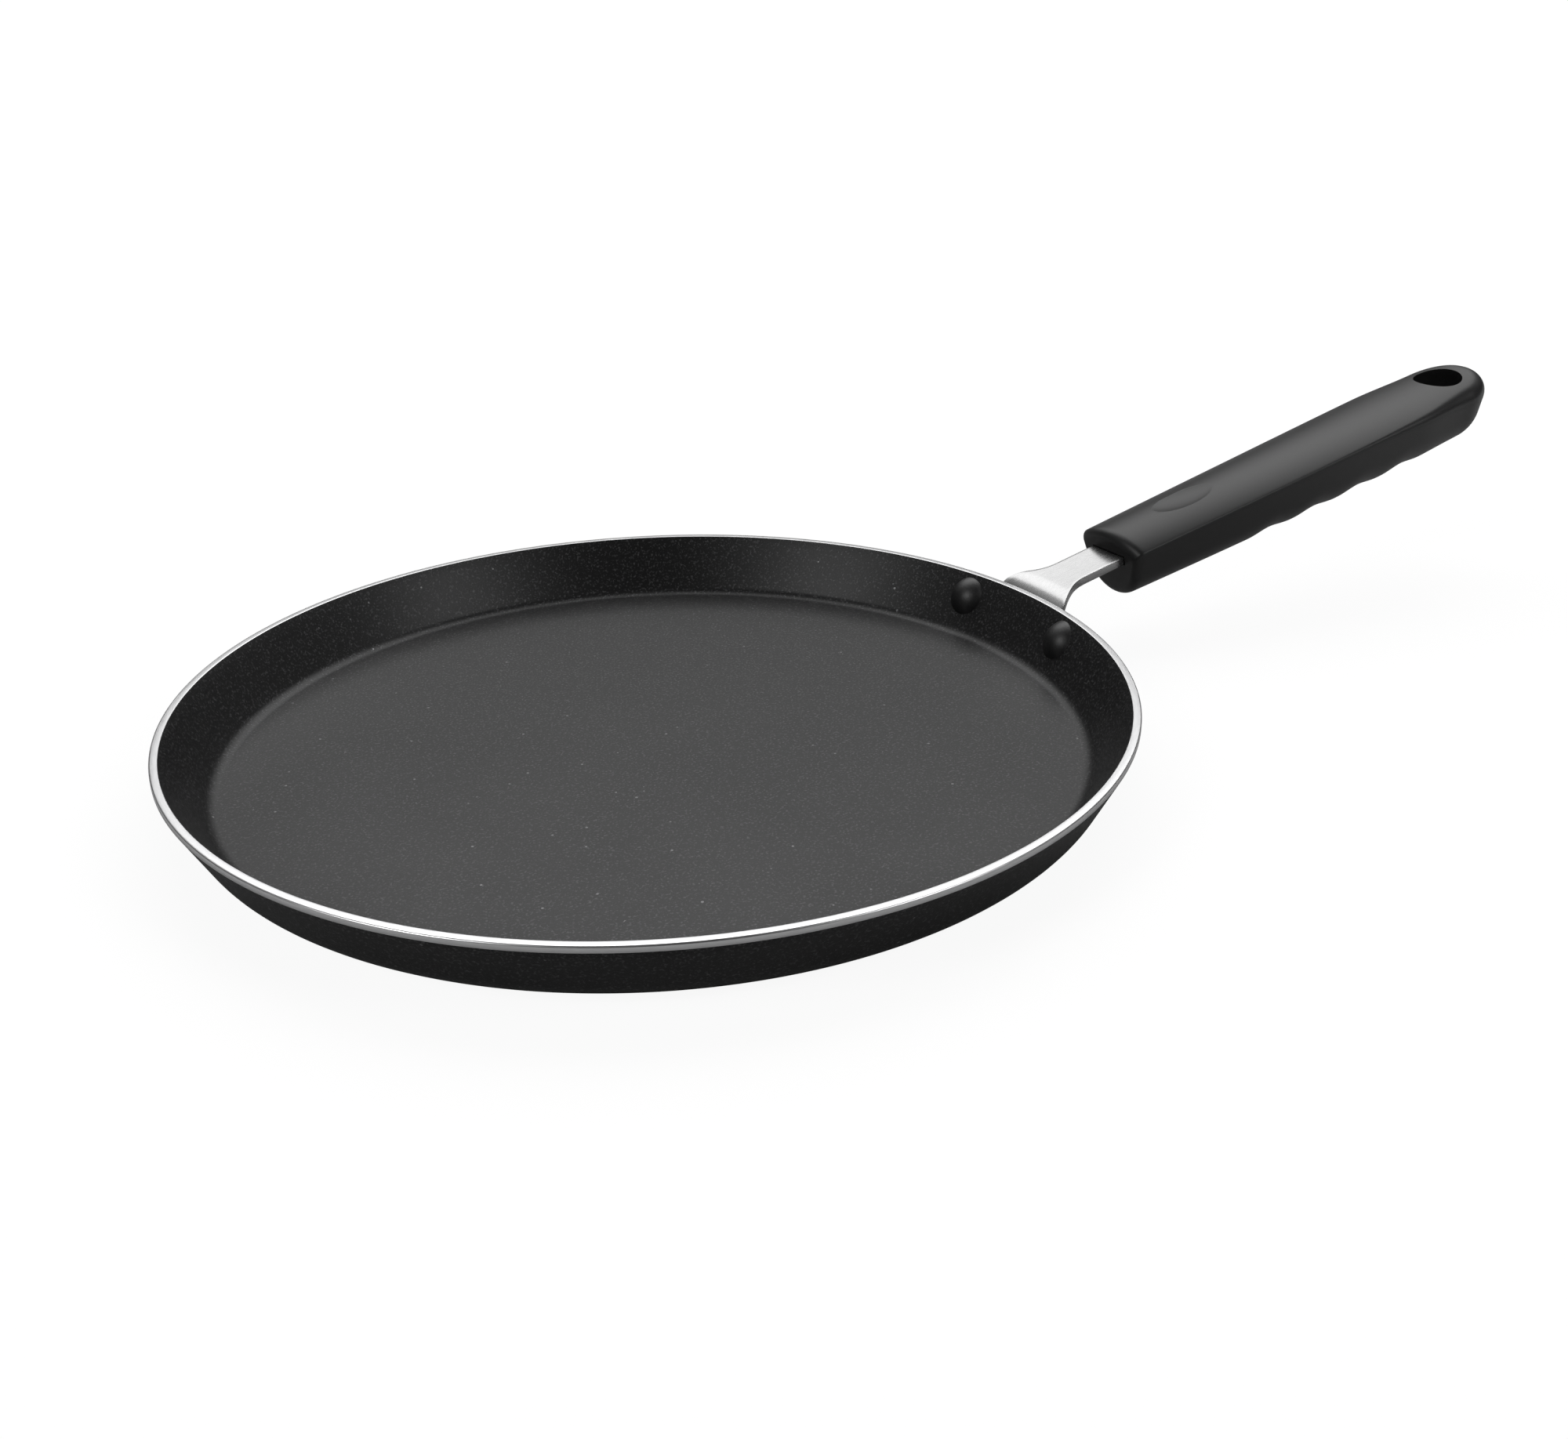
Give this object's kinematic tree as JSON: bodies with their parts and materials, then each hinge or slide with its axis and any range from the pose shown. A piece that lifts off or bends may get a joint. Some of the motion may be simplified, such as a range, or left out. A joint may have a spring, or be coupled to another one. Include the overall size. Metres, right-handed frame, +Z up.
{
  "type": "crepe pan",
  "caption": "Flat round crepe pan with a low flared black wall, bare bright lip, riveted steel strip bracket and a rising soft-touch handle with thumb hollow, finger grooves and hang hole.",
  "frame": {"origin": "centre of the pan's flat resting face", "axes": "+X along the handle, away from the pan; +Z up, square to the resting face"},
  "size_m": [0.4492, 0.26, 0.0633],
  "materials": {
    "coated_pan": "black non-stick coating inside and out, with the lip turned bare and bright",
    "bracket_steel": "bright, finely brushed along the strip",
    "rivet": "black coated dome inside the pan, bare tail outside",
    "soft_grip": "matte soft-touch skin",
    "stiff_core": "plain moulded",
    "screw_steel": "bright plated"
  },
  "bodies": {
    "root": {"pan_body": "coated_pan", "handle_bracket": "bracket_steel", "rivet_near": "rivet", "rivet_far": "rivet", "handle_grip": "soft_grip", "handle_core": "stiff_core", "fixing_screw": "screw_steel", "screw_washer": "screw_steel"}
  },
  "joints": []
}
